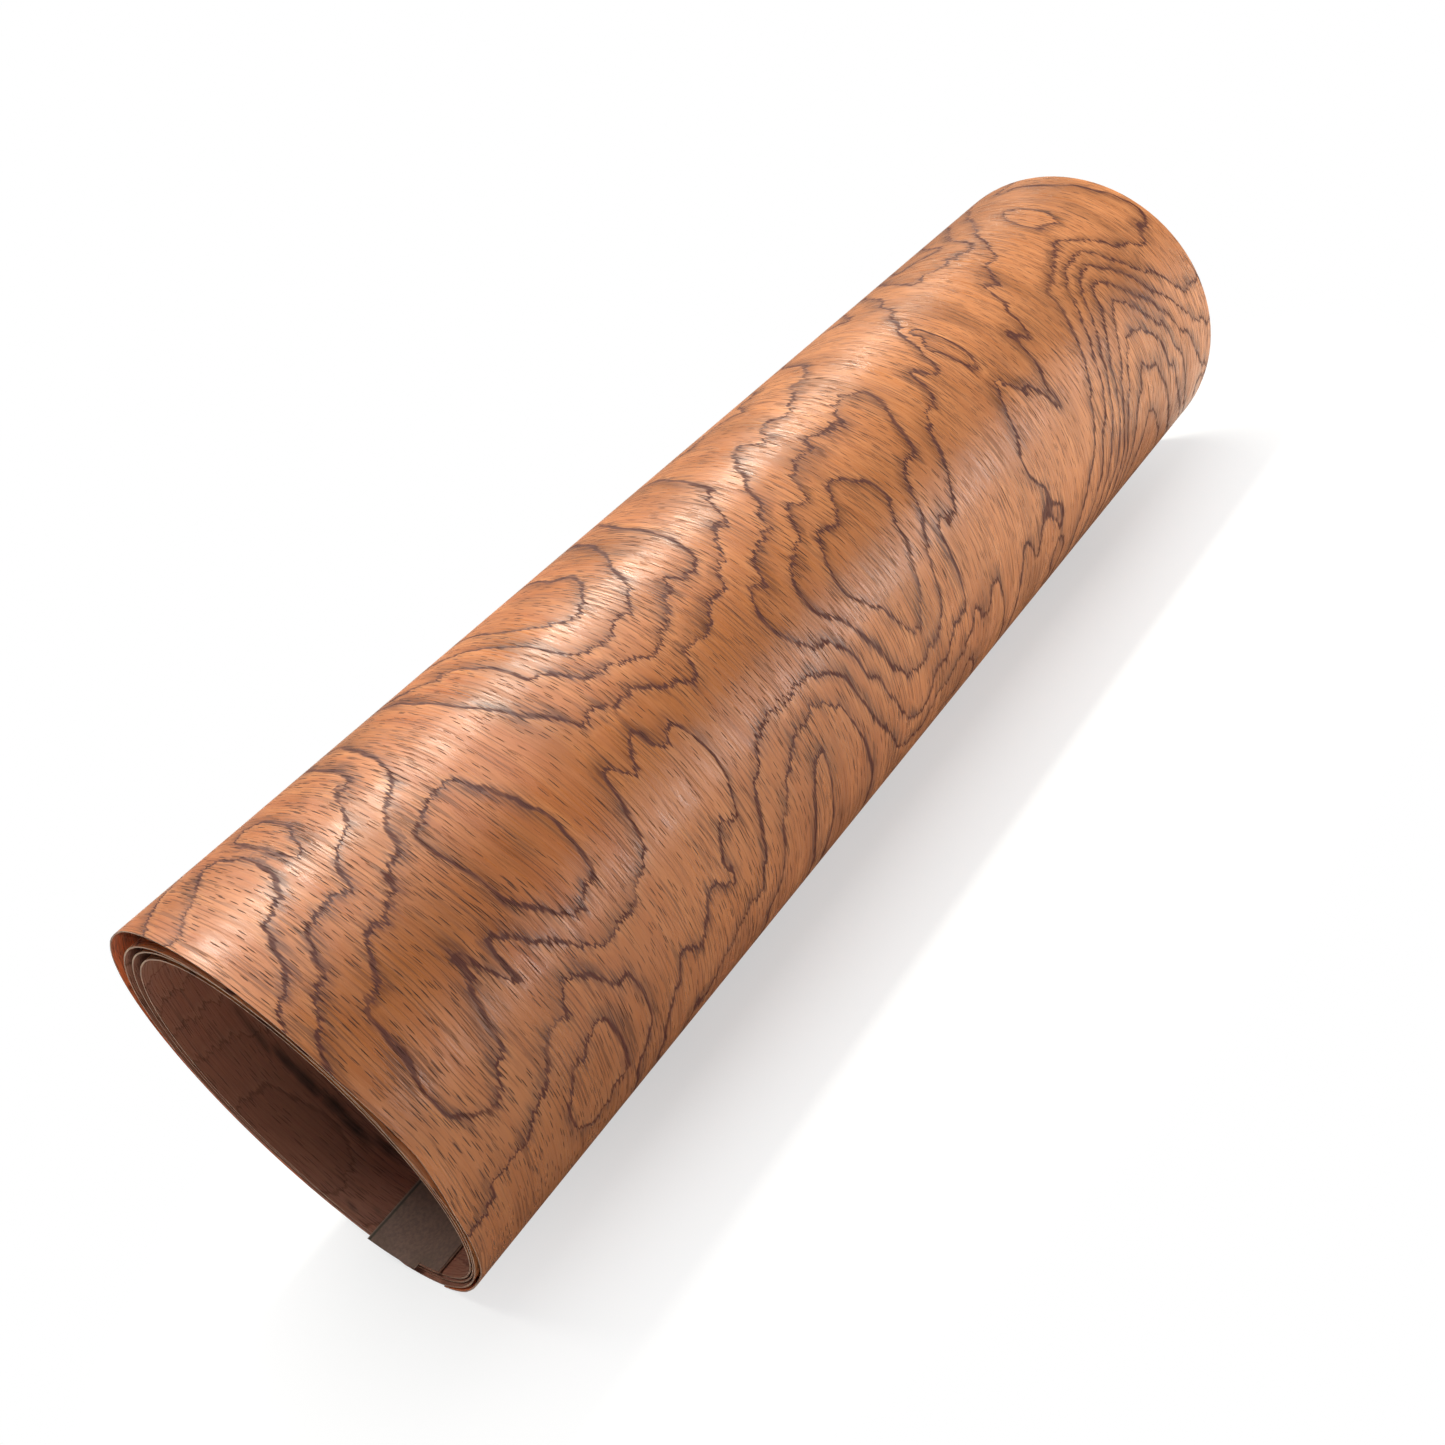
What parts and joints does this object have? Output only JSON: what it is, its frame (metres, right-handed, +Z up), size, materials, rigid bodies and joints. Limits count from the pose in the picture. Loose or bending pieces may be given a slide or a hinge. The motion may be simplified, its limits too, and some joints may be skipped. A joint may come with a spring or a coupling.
{
  "type": "wood veneer sheet",
  "caption": "Thin sheet of figured wood veneer in a loose roll lying on its side, its turns and open bore showing at the ends, with a paper tape strip along the inner end.",
  "frame": {"origin": "on the floor below the middle of the roll", "axes": "+Y along the roll from its near, open end to its far end; +X to the right seen from the near end; +Z up"},
  "size_m": [0.1694, 0.6025, 0.1677],
  "materials": {
    "veneer": "satin, bare",
    "tape": "matt kraft paper"
  },
  "bodies": {
    "root": {"veneer_sheet": "veneer", "end_tape": "tape"}
  },
  "joints": []
}
